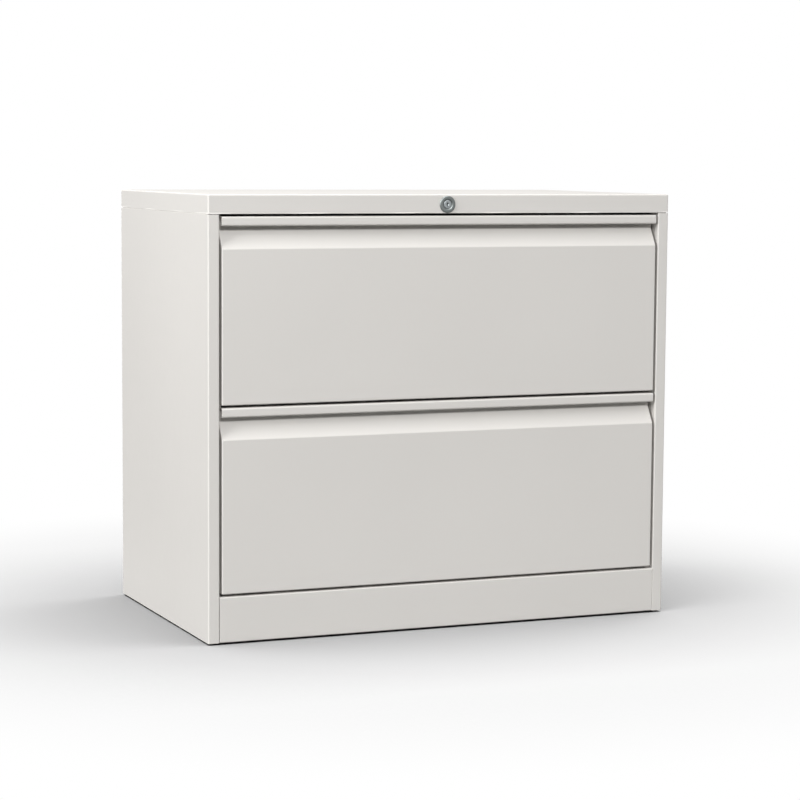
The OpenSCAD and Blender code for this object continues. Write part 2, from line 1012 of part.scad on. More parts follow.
// Moulded guides on the back panel that the lock bar slides in
module lock_bar_guides() {
    color("white")
        for (z = [upper_z + 60, upper_z + striker_up + 40])
            difference() {
                plate([bar_x - bar_w / 2 - guide_wall, bar_y - 2, z],
                    [bar_x + bar_w / 2 + guide_wall, flange_y, z + guide_h]);
                plate([bar_x - bar_w / 2 - 0.4, bar_y - 0.4, z - 1],
                    [bar_x + bar_w / 2 + 0.4, bar_y + bar_t + 0.4, z + guide_h + 1]);
            }
}

top_panel();
side_panel_left();
side_panel_right();
back_panel();
bottom_panel();
plinth_front();
plinth_rear();
upright_front_left();
upright_front_right();
upright_rear_left();
upright_rear_right();
top_rail_front();
top_rail_rear();
foot_brackets();
back_screws();
outer_member_upper_left();
outer_member_upper_right();
outer_member_lower_left();
outer_member_lower_right();
slide_buffers();
lock_housing();
lock_clip();
lock_bar_guides();
drawer_front_upper();
front_liner_upper();
pull_rail_upper();
tray_upper();
tray_back_upper();
inner_member_upper_left();
inner_member_upper_right();
file_rail_front_upper();
file_rail_rear_upper();
lock_striker_upper();
drawer_screws_upper();
drawer_front_lower();
front_liner_lower();
pull_rail_lower();
tray_lower();
tray_back_lower();
inner_member_lower_left();
inner_member_lower_right();
file_rail_front_lower();
file_rail_rear_lower();
lock_striker_lower();
drawer_screws_lower();
middle_member_upper_left();
middle_member_upper_right();
middle_member_lower_left();
middle_member_lower_right();
outer_ball_cages_upper();
inner_ball_cages_upper();
outer_ball_cages_lower();
inner_ball_cages_lower();
lock_cylinder();
lock_rod();
lock_bar();
foot_front_left();
foot_front_right();
foot_rear_left();
foot_rear_right();
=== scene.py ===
import json
import math

import bmesh
import bpy
from mathutils import Matrix, Vector, noise


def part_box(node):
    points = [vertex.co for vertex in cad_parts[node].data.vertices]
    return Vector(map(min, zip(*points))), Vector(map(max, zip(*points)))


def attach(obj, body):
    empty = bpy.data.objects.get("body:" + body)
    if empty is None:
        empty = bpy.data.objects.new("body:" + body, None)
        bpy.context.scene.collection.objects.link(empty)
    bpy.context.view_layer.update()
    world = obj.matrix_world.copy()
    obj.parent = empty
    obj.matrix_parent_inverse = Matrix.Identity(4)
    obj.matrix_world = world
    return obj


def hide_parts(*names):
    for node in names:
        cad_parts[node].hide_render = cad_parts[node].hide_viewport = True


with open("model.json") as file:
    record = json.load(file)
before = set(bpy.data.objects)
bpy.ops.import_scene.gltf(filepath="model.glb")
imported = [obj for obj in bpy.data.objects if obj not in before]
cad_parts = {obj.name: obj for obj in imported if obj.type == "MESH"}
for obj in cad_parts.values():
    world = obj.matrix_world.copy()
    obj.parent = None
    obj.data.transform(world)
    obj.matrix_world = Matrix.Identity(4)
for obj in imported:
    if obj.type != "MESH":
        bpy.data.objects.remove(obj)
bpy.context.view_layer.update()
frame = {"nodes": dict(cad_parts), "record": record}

MM = 0.001

# The sizes of the part that the pieces below are drawn to
SHEET = 1 * MM
CAP_R = 2.5 * MM
CAP_SEAM = 1 * MM
CAP_FOLD = 12 * MM
CAP_SAG = 0.35 * MM
STILE_W = 18.5 * MM
STILE_RETURN = 32 * MM
HEM = 6 * MM
JOGGLE = 4 * MM
REAR_FLANGE = 19 * MM
PLINTH_RETURN = 20 * MM
BEAD_W = 24 * MM
BEAD_DEPTH = 3 * MM
BEADS_AT = (-200 * MM, 200 * MM)
BEAD_FOOT = 112 * MM
BEAD_HEAD = 623 * MM
PAN_R = 2 * MM
CREASE_R = 4 * MM
RAIL_R = 3 * MM
RAIL_LIP = 7 * MM
RECESS_DEPTH = 17 * MM
BEVEL_H = 28 * MM
FINGER_GAP = 7 * MM
TRAY_HEM = 10 * MM
TRAY_HEM_RETURN = 8 * MM
TRAY_FLOOR = 12 * MM
TRAY_R = 2 * MM
RIB_DEPTH = 1.5 * MM
SWAGE_UP = 155 * MM
SWAGE_DEPTH = 1.5 * MM
BALLS = 6
BALL_R = {"outer": 1.9 * MM, "inner": 1.7 * MM}
CAGE_HALF = 2 * MM
LOCK_PROUD = 2 * MM
BARREL_R = 9.5 * MM
CORE_R = 7 * MM
HOLE_R = 9.6 * MM
SCREW_HEAD_R = 4 * MM
SCREW_R = 2 * MM
STEM_R = 4 * MM
STEM_FOOT = 11.5 * MM
PAD_TOP = 7 * MM
NUT_R = 7.5 * MM
NUT_TOP = 12 * MM
EDGE = 0.2 * MM

# Where the ribs of a tray's floor run, as shares of its half width
RIB_SHARES = (-0.8, -0.48, -0.16, 0.16, 0.48, 0.8)

# How far the screws of a tray stand in from its ends, and how high over the drawer's lower edge
FRONT_SCREWS_IN = 9 * MM
FRONT_SCREWS_UP = (40 * MM, 150 * MM, 205 * MM)
REAR_SCREWS_IN = 6 * MM
REAR_SCREWS_UP = (40 * MM, 205 * MM)

# The keyway round the middle of the lock core, in millimetres
KEYWAY = [(-0.75, -4.2), (0.1, -4.2), (0.1, -2.2), (0.75, -1.6), (0.75, -0.2), (0.2, 0.3),
          (0.2, 1.8), (0.75, 2.4), (0.75, 4.2), (-0.2, 4.2), (-0.2, 2.6), (-0.75, 2.1),
          (-0.75, 0.8), (-1.5, 0.4), (-1.5, -0.6), (-0.75, -1.0)]

# --- Camera ---------------------------------------------------------------------------------

# The photograph's viewpoint: to the left of the cabinet and just above its top
CAMERA_AT = Vector((-1.558, -3.739, 0.761))
CAMERA_YAW = math.radians(-22.87)
CAMERA_PITCH = math.radians(5.81)
CAMERA_ROLL = math.radians(0.39)
CAMERA_LENS = 108.2


def make_camera():
    data = bpy.data.cameras.new("camera")
    data.lens = CAMERA_LENS
    camera = bpy.data.objects.new("camera", data)
    bpy.context.scene.collection.objects.link(camera)
    turn = Matrix.Rotation(CAMERA_YAW, 4, "Z") @ Matrix.Rotation(math.pi / 2 - CAMERA_PITCH, 4, "X")
    camera.matrix_world = Matrix.Translation(CAMERA_AT) @ turn @ Matrix.Rotation(CAMERA_ROLL, 4, "Z")
    bpy.context.scene.camera = camera


# --- Studio ---------------------------------------------------------------------------------

# Strength of the even light, and how pale the floor is to the camera and to the light it sends back
SKY = 0.30
FLOOR_SEEN = 0.15
FLOOR_BOUNCE = 0.045
# Distance from the middle of the floor at which it starts to fade to white, and at which it is white
WHITE_FROM = 0.55
WHITE_TO = 1.20
FLOOR_REACH = 30.0

# Name, place, what it is aimed at, size and watts of each lamp on the cabinet, and of the floor's
LAMPS = (
    ("key", (-0.6, -6.2, 3.4), (0, 0, 0.35), (4.0, 1.0), 264),
    ("front_top", (-0.2, -2.3, 3.1), (0, -0.1, 0.4), (2.6, 1.6), 10),
    ("overhead", (0.0, 0.1, 2.8), (0, 0.1, 0.6), (2.4, 2.0), 38),
    ("left_side", (-4.6, -1.0, 2.3), (0, 0, 0.4), (2.2, 2.2), 238),
)
FLOOR_LAMP = ("floor_light", (0.0, -0.16, 3.2), (0, -0.16, 0), (5.0, 2.9), 930)


def soft_box(name, at, aim, size, watts):
    data = bpy.data.lights.new(name, "AREA")
    data.shape = "RECTANGLE"
    data.size, data.size_y = size
    data.energy = watts
    light = bpy.data.objects.new(name, data)
    bpy.context.scene.collection.objects.link(light)
    light.location = at
    light.rotation_euler = (Vector(aim) - Vector(at)).to_track_quat("-Z", "Y").to_euler()
    return light


def make_world():
    """A studio that is white to the eye all round, and a weak even light."""
    world = bpy.data.worlds.new("studio")
    bpy.context.scene.world = world
    world.use_nodes = True
    nodes, links = world.node_tree.nodes, world.node_tree.links
    nodes.clear()
    strength = nodes.new("ShaderNodeMapRange")
    links.new(nodes.new("ShaderNodeLightPath").outputs["Is Camera Ray"], strength.inputs["Value"])
    strength.inputs["To Min"].default_value = SKY
    strength.inputs["To Max"].default_value = 1.0
    light = nodes.new("ShaderNodeBackground")
    light.inputs["Color"].default_value = (1, 1, 1, 1)
    links.new(strength.outputs[0], light.inputs["Strength"])
    links.new(light.outputs[0], nodes.new("ShaderNodeOutputWorld").inputs["Surface"])


def make_floor():
    """A pale floor that fades into the white studio; the floor lamp casts the soft shadow round the
    base.
    """
    corners = [(FLOOR_REACH * x, FLOOR_REACH * y, 0) for x, y in ((-1, -1), (1, -1), (1, 1), (-1, 1))]
    mesh = bpy.data.meshes.new("floor")
    mesh.from_pydata(corners, [], [(0, 1, 2, 3)])
    floor = bpy.data.objects.new("floor", mesh)
    bpy.context.scene.collection.objects.link(floor)
    made = Shader("studio_floor")
    made.set((FLOOR_SEEN,) * 3, 0.9, specular=0.0)
    path = made.tree.nodes.new("ShaderNodeLightPath").outputs["Is Camera Ray"]
    made.colour_between(path, (FLOOR_BOUNCE,) * 3, (FLOOR_SEEN,) * 3)
    away = made.length(made.where)
    glow = made.tree.nodes.new("ShaderNodeEmission")
    made.link(made.remap(path, 0, 1, FLOOR_BOUNCE, 1.0), glow.inputs["Strength"])
    blend = made.tree.nodes.new("ShaderNodeMixShader")
    made.link(made.remap(away, WHITE_FROM, WHITE_TO, smooth=True), blend.inputs[0])
    made.link(made.bsdf.outputs[0], blend.inputs[1])
    made.link(glow.outputs[0], blend.inputs[2])
    made.link(blend.outputs[0], made.tree.nodes["Material Output"].inputs["Surface"])
    floor.data.materials.append(made.material)
    return floor


def link_light(light, floor, state):
    """Makes a lamp light the floor only, or everything but the floor."""
    group = bpy.data.collections.new(light.name + "_lights")
    group.objects.link(floor)
    light.light_linking.receiver_collection = group
    for item in group.collection_objects:
        item.light_linking.link_state = state


def make_studio():
    view = bpy.context.scene.view_settings
    view.view_transform = "Standard"
    view.look = "None"
    make_world()
    floor = make_floor()
    for lamp in LAMPS:
        link_light(soft_box(*lamp), floor, "EXCLUDE")
    link_light(soft_box(*FLOOR_LAMP), floor, "INCLUDE")


# --- Materials ------------------------------------------------------------------------------


class Shader:
    """A material built from procedural nodes, in the piece's own coordinates in metres."""

    def __init__(self, name):
        self.material = bpy.data.materials.new(name)
        self.material.use_nodes = True
        self.tree = self.material.node_tree
        self.bsdf = self.tree.nodes["Principled BSDF"]
        self.where = self.tree.nodes.new("ShaderNodeTexCoord").outputs["Object"]

    def link(self, a, b):
        self.tree.links.new(a, b)

    def set(self, base, rough, metallic=0.0, specular=0.5):
        put = self.bsdf.inputs
        put["Base Color"].default_value = (*base, 1)
        put["Roughness"].default_value = rough
        put["Metallic"].default_value = metallic
        put["Specular IOR Level"].default_value = specular

    def noise(self, scale, detail=2.0, stretch=(1, 1, 1), roughness=0.5):
        place = self.tree.nodes.new("ShaderNodeMapping")
        place.inputs["Scale"].default_value = stretch
        self.link(self.where, place.inputs["Vector"])
        node = self.tree.nodes.new("ShaderNodeTexNoise")
        node.inputs["Scale"].default_value = scale
        node.inputs["Detail"].default_value = detail
        node.inputs["Roughness"].default_value = roughness
        self.link(place.outputs[0], node.inputs["Vector"])
        return node.outputs["Fac"]

    def length(self, vector):
        node = self.tree.nodes.new("ShaderNodeVectorMath")
        node.operation = "LENGTH"
        self.link(vector, node.inputs[0])
        return node.outputs["Value"]

    def remap(self, value, low, high, to_low=0.0, to_high=1.0, smooth=False):
        node = self.tree.nodes.new("ShaderNodeMapRange")
        node.interpolation_type = "SMOOTHSTEP" if smooth else "LINEAR"
        self.link(value, node.inputs["Value"])
        node.inputs["From Min"].default_value = low
        node.inputs["From Max"].default_value = high
        node.inputs["To Min"].default_value = to_low
        node.inputs["To Max"].default_value = to_high
        return node.outputs[0]

    def mix(self, fac, a, b):
        """Blends two colours; each is a colour or an output socket."""
        node = self.tree.nodes.new("ShaderNodeMix")
        node.data_type = "RGBA"
        self.link(fac, node.inputs["Factor"])
        for socket, value in (("A", a), ("B", b)):
            target = [s for s in node.inputs if s.name == socket and s.type == "RGBA"][0]
            if isinstance(value, tuple):
                target.default_value = (*value, 1)
            else:
                self.link(value, target)
        return [s for s in node.outputs if s.type == "RGBA"][0]

    def colour_between(self, fac, a, b):
        self.link(self.mix(fac, a, b), self.bsdf.inputs["Base Color"])

    def rough_between(self, fac, a, b):
        self.link(self.remap(fac, 0.3, 0.7, a, b), self.bsdf.inputs["Roughness"])

    def bump(self, height, distance, strength=1.0):
        node = self.tree.nodes.new("ShaderNodeBump")
        node.inputs["Distance"].default_value = distance
        node.inputs["Strength"].default_value = strength
        self.link(height, node.inputs["Height"])
        self.link(node.outputs[0], self.bsdf.inputs["Normal"])

    def edges(self, radius=0.0012):
        """1 on an edge and 0 on a flat, from how far the rounded normal leans from the true one; it
        places the painted highlight along edges.
        """
        nodes = self.tree.nodes
        rounded = nodes.new("ShaderNodeBevel")
        rounded.samples = 4
        rounded.inputs["Radius"].default_value = radius
        true = nodes.new("ShaderNodeNewGeometry")
        dot = nodes.new("ShaderNodeVectorMath")
        dot.operation = "DOT_PRODUCT"
        self.link(rounded.outputs[0], dot.inputs[0])
        self.link(true.outputs["True Normal"], dot.inputs[1])
        return self.remap(dot.outputs["Value"], 0.99, 0.80)


def powder_coat(name, base, rough=0.46):
    """Baked powder coat: fine orange peel, faint mottling, and a painted highlight that makes the edges
    paler.
    """
    made = Shader(name)
    made.set(base, rough, specular=0.42)
    cloud = made.noise(scale=2.2, detail=3.0)
    speck = made.noise(scale=900.0, detail=1.0)
    pale = tuple(min(1.0, c * 1.015) for c in base)
    deep = tuple(c * 0.985 for c in base)
    tone = made.mix(made.remap(cloud, 0.35, 0.65), deep, pale)
    fleck = made.mix(made.remap(speck, 0.62, 0.78, 0.0, 0.35), tone, tuple(c * 0.93 for c in base))
    # Painted highlight: the edges are painted paler than the flat, standing in for light caught on the
    # folds
    highlight_colour = tuple(min(1.0, c * 1.17) for c in base)
    painted_highlight = made.mix(made.remap(made.edges(0.002), 0.0, 1.0, 0.0, 0.85), fleck, highlight_colour)
    made.link(painted_highlight, made.bsdf.inputs["Base Color"])
    made.rough_between(made.noise(scale=60.0, detail=3.0), rough - 0.05, rough + 0.06)
    made.bump(made.noise(scale=520.0, detail=2.5, roughness=0.45), 0.00006, 0.55)
    return made.material


def plated_steel(name, base, rough, along):
    """Zinc or nickel plate over rolled steel: fine drawing lines along one axis, and faint bloom."""
    made = Shader(name)
    made.set(base, rough, metallic=1.0)
    stretch = tuple(0.02 if axis == along else 1.0 for axis in "xyz")
    lines = made.noise(scale=1400.0, detail=2.0, stretch=stretch)
    bloom = made.noise(scale=45.0, detail=4.0)
    tone = made.mix(made.remap(bloom, 0.35, 0.7), base, tuple(c * 0.86 for c in base))
    made.link(made.mix(made.remap(lines, 0.3, 0.7, 0.0, 0.4), tone, tuple(c * 0.9 for c in base)),
              made.bsdf.inputs["Base Color"])
    made.rough_between(bloom, rough - 0.06, rough + 0.1)
    made.bump(lines, 0.00003, 0.5)
    return made.material


def moulded(name, base, rough):
    """Moulded rubber or plastic: spark-eroded grain, dull edges and a little dust."""
    made = Shader(name)
    made.set(base, rough, specular=0.4)
    grain = made.noise(scale=1800.0, detail=2.0)
    dust = made.noise(scale=30.0, detail=4.0)
    dusty = tuple(min(1.0, c * 1.5 + 0.02) for c in base)
    made.colour_between(made.remap(dust, 0.4, 0.75, 0.0, 0.5), base, dusty)
    made.rough_between(dust, rough - 0.06, rough + 0.08)
    made.bump(grain, 0.00004, 0.6)
    return made.material


COAT = (0.700, 0.680, 0.650)


def make_materials():
    return {
        "powder_coat": powder_coat("powder_coat", COAT),
        "rail_coat": powder_coat("rail_coat", COAT, rough=0.40),
        "inner_coat": powder_coat("inner_coat", tuple(c * 0.97 for c in COAT), rough=0.52),
        "zinc": plated_steel("zinc", (0.62, 0.64, 0.66), 0.32, "y"),
        "screw_steel": plated_steel("screw_steel", (0.58, 0.59, 0.60), 0.34, "z"),
        "ball_steel": plated_steel("ball_steel", (0.72, 0.73, 0.75), 0.14, "y"),
        "lock_chrome": plated_steel("lock_chrome", (0.35, 0.38, 0.375), 0.44, "z"),
        "lock_core": plated_steel("lock_core", (0.52, 0.56, 0.57), 0.50, "x"),
        "nylon": moulded("nylon", (0.78, 0.77, 0.72), 0.42),
        "rubber": moulded("rubber", (0.03, 0.03, 0.03), 0.75),
        "foot_plastic": moulded("foot_plastic", (0.028, 0.028, 0.030), 0.55),
    }


MATERIALS = make_materials()


# --- CAD nodes that are kept ----------------------------------------------------------------


def soften(thing, width, harden=False):
    """Rounds the sharp edges of an object."""
    edge = thing.modifiers.new("edge", "BEVEL")
    edge.width = width
    edge.segments = 2
    edge.limit_method = "ANGLE"
    edge.angle_limit = math.radians(35)
    edge.harden_normals = harden


def dress(node, material):
    """Gives a kept CAD node its finish, merges its facets and softens its sharp edges."""
    thing = frame["nodes"][node]
    thing.data.materials.clear()
    thing.data.materials.append(material)
    weld = thing.modifiers.new("weld", "WELD")
    weld.merge_threshold = 0.000005
    flat = thing.modifiers.new("flat", "DECIMATE")
    flat.decimate_type = "DISSOLVE"
    flat.angle_limit = math.radians(0.5)
    soften(thing, EDGE, harden=True)


def dress_all():
    for row in frame["record"]["subparts"]:
        dress(row["node"], MATERIALS[row["material_slot"]])


# --- Meshes ---------------------------------------------------------------------------------


def rounded(corners, radii, closed=False, steps=6):
    """A line through 2-D corners, each rounded by its own radius; 0 leaves a corner sharp."""
    points = []
    for i, (corner, radius) in enumerate(zip(corners, radii)):
        at = Vector(corner)
        loose_end = not closed and i in (0, len(corners) - 1)
        if loose_end or not radius:
            points.append(at)
            continue
        came = (at - Vector(corners[i - 1])).normalized()
        goes = (Vector(corners[(i + 1) % len(corners)]) - at).normalized()
        turn = math.atan2(came.x * goes.y - came.y * goes.x, came.dot(goes))
        start = at - came * radius * math.tan(abs(turn) / 2)
        centre = start + Vector((-came.y, came.x)) * math.copysign(radius, turn)
        points += [centre + Matrix.Rotation(turn * k / steps, 2) @ (start - centre)
                   for k in range(steps + 1)]
    return points


def finer(points, longest, closed=False):
    """The same line with points added, so that no stretch of it is longer than given."""
    after = points[1:] + points[:1] if closed else points[1:]
    out = []
    for a, b in zip(points, after):
        parts = math.ceil((b - a).length / longest)
        out += [a.lerp(b, k / parts) for k in range(parts)]
    return out if closed else out + [points[-1]]


def beside(points, distance, closed=False):
    """The line moved to its left by a distance."""
    out = []
    last = len(points) - 1
    for i, at in enumerate(points):
        before = at - points[i - 1] if i or closed else points[1] - at
        after = points[(i + 1) % len(points)] - at if i < last or closed else before
        before, after = before.normalized(), after.normalized()
        along = (before + after).normalized()
        left = Vector((-along.y, along.x))
        out.append(at + left * distance / along.dot(after))
    return out


def sheet_section(line, thickness=SHEET):
    """Closed section of a folded sheet that lies to the left of a line."""
    return line + beside(line, thickness)[::-1]


def loft(rings, closed=True, capped=True, into=None):
    """Skin through rings of 3-D points that all have the same count."""
    bm = into or bmesh.new()
    rows = [[bm.verts.new(point) for point in ring] for ring in rings]
    count = len(rings[0])
    for a, b in zip(rows, rows[1:]):
        for i in range(count if closed else count - 1):
            j = (i + 1) % count
            bm.faces.new((a[i], a[j], b[j], b[i]))
    if capped:
        bm.faces.new(rows[0][::-1])
        bm.faces.new(rows[-1])
    bmesh.ops.recalc_face_normals(bm, faces=bm.faces)
    return bm


def slab(bm, low, high):
    """A flat strip of sheet between two opposite corners, added to a mesh."""
    outline = [(low[0], low[1]), (high[0], low[1]), (high[0], high[1]), (low[0], high[1])]
    return loft([[Vector((x, y, z)) for x, y in outline] for z in (low[2], high[2])], into=bm)


def lathe(profile, steps=48, at=(0, 0, 0), into=None, capped=True):
    """Turned shape about Z through a point, from a profile of (radius, height)."""
    centre = Vector(at)
    rings = [[centre + Vector((r * math.cos(a), r * math.sin(a), z))
              for a in (2 * math.pi * k / steps for k in range(steps))] for r, z in profile]
    return loft(rings, capped=capped, into=into)


def facing_front(at):
    """Turns what was made about Z to run to the back from a point on the front."""
    return Matrix.Translation(at) @ Matrix.Rotation(math.radians(-90), 4, "X")


def stations(low, high, step):
    """Evenly spaced values from low to high, no further apart than step."""
    parts = math.ceil((high - low) / step)
    return [low + (high - low) * k / parts for k in range(parts + 1)]


def closer(values, places, reach, step):
    """The values in order, with small steps put in within reach of each place."""
    out = set(values)
    for place in places:
        out = {value for value in out if abs(value - place) > reach + 4 * MM}
        out |= set(stations(place - reach, place + reach, step))
    return sorted(out)


def smooth_step(value, low, high):
    share = min(1.0, max(0.0, (value - low) / (high - low)))
    return share * share * (3 - 2 * share)


def wave(point, size, seed):
    """A slow, repeatable value from 0 to 1 over space, for the faint waves of a large flat."""
    return 0.5 + 0.5 * noise.noise(Vector(point) / size + Vector((seed, seed, seed)))


def give(point, size, seed, depth, held, fade):
    """How far a thin flat has given way: nothing where its edges hold it, and up to depth inside."""
    return depth * wave(point, size, seed) * smooth_step(held, *fade)


def holder_of(bm):
    mesh = bpy.data.meshes.new("work")
    bm.to_mesh(mesh)
    bm.free()
    holder = bpy.data.objects.new("work", mesh)
    bpy.context.scene.collection.objects.link(holder)
    return holder


def changed(bm, kind, other=None, **settings):
    """The mesh after one modifier, which may use a second mesh."""
    holders = [holder_of(bm)] + ([holder_of(other)] if other else [])
    change = holders[0].modifiers.new("change", kind)
    if other:
        change.object = holders[1]
    for key, value in settings.items():
        setattr(change, key, value)
    graph = bpy.context.evaluated_depsgraph_get()
    result = bmesh.new()
    result.from_mesh(holders[0].evaluated_get(graph).to_mesh())
    for holder in holders:
        mesh = holder.data
        bpy.data.objects.remove(holder)
        bpy.data.meshes.remove(mesh)
    return result


def thicken(bm, outwards, thickness=SHEET):
    """Gives an open skin the thickness of its sheet, away from its outer side."""
    bmesh.ops.recalc_face_normals(bm, faces=bm.faces)
    if sum(face.normal.dot(outwards) * face.calc_area() for face in bm.faces) < 0:
        bmesh.ops.reverse_faces(bm, faces=bm.faces[:])
    return changed(bm, "SOLIDIFY", thickness=thickness, offset=-1, use_even_offset=True)


def cut(bm, cutter):
    """Takes one mesh away from another."""
    return changed(bm, "BOOLEAN", cutter, operation="DIFFERENCE", solver="EXACT")


def body_of(node):
    bodies = frame["record"]["behaviour"]["bodies"]
    return next(body for body, nodes in bodies.items() if node in nodes)


def slot_of(node):
    return next(row["material_slot"] for row in frame["record"]["subparts"] if row["node"] == node)


def piece(name, bm, *nodes, bevel=EDGE, slot=None):
    """Makes a mesh the visible piece for CAD nodes; it rides on their body in their finish."""
    mesh = bpy.data.meshes.new(name)
    bmesh.ops.dissolve_degenerate(bm, dist=0.000001, edges=bm.edges[:])
    bm.to_mesh(mesh)
    bm.free()
    mesh.polygons.foreach_set("use_smooth", [True] * len(mesh.polygons))
    thing = bpy.data.objects.new(name, mesh)
    bpy.context.scene.collection.objects.link(thing)
    slot = slot or slot_of(nodes[0])
    mesh.materials.append(MATERIALS[slot])
    if bevel:
        soften(thing, bevel)
    normals = thing.modifiers.new("normals", "WEIGHTED_NORMAL")
    normals.weight = 60
    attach(thing, body_of(nodes[0]))
    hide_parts(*nodes)


# --- Case -----------------------------------------------------------------------------------


def along_x(line, xs):
    return [[Vector((x, point.x, point.y)) for point in line] for x in xs]


def along_z(line, zs):
    return [[Vector((point.x, point.y, z)) for point in line] for z in zs]


def make_cap():
    """The top: soft folded edges and corners, a flat that sags a hair, and the front's return."""
    low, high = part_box("top_panel")
    corners = [(low.x, low.y), (high.x, low.y), (high.x, high.y), (low.x, high.y)]
    base = finer(rounded(corners, [CAP_R] * 4, closed=True, steps=8), 40 * MM, closed=True)
    rings = along_z(base, [low.z, low.z + 2 * MM, low.z + 12 * MM, high.z - CAP_R])
    for k in range(1, 9):
        a = math.radians(90) * k / 8
        inset = beside(base, CAP_R * 0.98 * (1 - math.cos(a)), closed=True)
        rings += along_z(inset, [high.z - CAP_R * (1 - math.sin(a))])
    middle = Vector(((low.x + high.x) / 2, (low.y + high.y) / 2))
    flat = [Vector((point.x, point.y)) for point in rings[-1]]
    for share in (0.01, 0.04, 0.12, 0.25, 0.4, 0.55, 0.7, 0.85, 0.97):
        ring = [point.lerp(middle, share) for point in flat]
        sag = CAP_SAG * smooth_step(share, 0.02, 0.3)
        rings.append([Vector((p.x, p.y, high.z - sag * wave((p.x, p.y, 0), 0.22, 3))) for p in ring])
    bm = loft(rings, capped=False)
    bm.verts.ensure_lookup_table()
    bm.faces.new(bm.verts[-len(base):])
    bm = thicken(bm, Vector((0, 0, 1)))
    lock_low, lock_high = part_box("lock_housing")
    lock_z = (lock_low.z + lock_high.z) / 2
    hole = lathe([(HOLE_R, -5 * MM), (HOLE_R, 5 * MM)], 64)
    hole.transform(facing_front((0, low.y, lock_z)))
    bm = cut(bm, hole)
    back = low.y + CAP_FOLD
    fold = rounded([(low.y + SHEET / 2, low.z), (back, low.z), (back, low.z + 8 * MM)],
                   [0, 1.5 * MM, 0])
    loft(along_x(sheet_section(fold), stations(low.x + 5 * MM, high.x - 5 * MM, 100 * MM)), into=bm)
    piece("top_cap", bm, "top_panel")


def make_side(side):
    """A side: post, large flat and rear flange folded from one sheet, with the faint waves of a
    panel held at its edges."""
    low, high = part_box(f"side_panel_{side}")
    outer = high.x if side == "right" else -low.x
    inner = outer - STILE_W
    front, back, top = low.y, high.y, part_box("top_panel")[0].z - CAP_SEAM
    flange = back - JOGGLE
    corners = [(inner, front + STILE_RETURN), (inner, front), (outer, front), (outer, back),
               (outer - HEM, back), (outer - HEM, flange), (outer - HEM - REAR_FLANGE, flange)]
    line = rounded(corners, [0, 2 * MM, 2 * MM, 2 * MM, 2 * MM, SHEET, 0])
    section = finer(sheet_section(line), 40 * MM, closed=True)
    rings = along_z(section, stations(low.z, top, 40 * MM))
    seed = 7 if side == "right" else 11
    for ring in rings:
        for point in ring:
            if point.x > outer - 1.5 * MM:
                held = min(point.y - front, back - point.y, point.z - low.z, top - point.z)
                at = (0, point.y, point.z)
                point.x -= give(at, 0.20, seed, 0.45 * MM, held, (8 * MM, 70 * MM))
    bm = loft(rings)
    slab(bm, (outer - 2 * SHEET, front + 5 * MM, top - 12 * MM),
         (outer - SHEET, back - 8 * MM, high.z))
    slab(bm, (inner + SHEET / 2, front + 2 * MM, low.z),
         (outer - SHEET / 2, back - 10 * MM, low.z + SHEET))
    if side == "left":
        for vertex in bm.verts:
            vertex.co.x = -vertex.co.x
        bmesh.ops.recalc_face_normals(bm, faces=bm.faces)
    piece(f"{side}_side", bm, f"side_panel_{side}")


def make_plinth():
    """The plinth: one sheet folded back at the top and under at the bottom."""
    low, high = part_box("plinth_front")
    corners = [(high.y, high.z), (low.y, high.z), (low.y, low.z), (low.y + PLINTH_RETURN, low.z)]
    line = rounded(corners, [0, PAN_R, PAN_R, 0])
    section = finer(sheet_section(line), 12 * MM, closed=True)
    rings = along_x(section, stations(low.x, high.x, 40 * MM))
    for ring in rings:
        for point in ring:
            if point.y < low.y + 1.5 * MM:
                held = min(point.x - low.x, high.x - point.x, point.z - low.z, high.z - point.z)
                at = (point.x, 0, point.z)
                point.y += give(at, 0.16, 13, 0.25 * MM, held, (4 * MM, 25 * MM))
    piece("plinth_sheet", loft(rings), "plinth_front")


def bead_depth(x, z):
    """Depth of the pressed beads at a place on the back panel, with round ends."""
    spine = [Vector((place, min(max(z, BEAD_FOOT), BEAD_HEAD))) for place in BEADS_AT]
    away = min((Vector((x, z)) - nearest).length for nearest in spine)
    return BEAD_DEPTH * (1 - smooth_step(away, BEAD_W / 2 - 2 * MM, BEAD_W / 2 + 4 * MM))


def make_back():
    """The back panel, with two long beads pressed into it."""
    low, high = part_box("back_panel")
    xs = closer(stations(low.x, high.x, 45 * MM), BEADS_AT, 18 * MM, 1.5 * MM)
    zs = closer(stations(low.z, high.z, 40 * MM), (BEAD_FOOT, BEAD_HEAD), 20 * MM, 2 * MM)
    rows = [[Vector((x, high.y - bead_depth(x, z), z)) for x in xs] for z in zs]
    bm = thicken(loft(rows, closed=False, capped=False), Vector((0, 1, 0)))
    piece("back_sheet", bm, "back_panel")


# --- Drawers --------------------------------------------------------------------------------


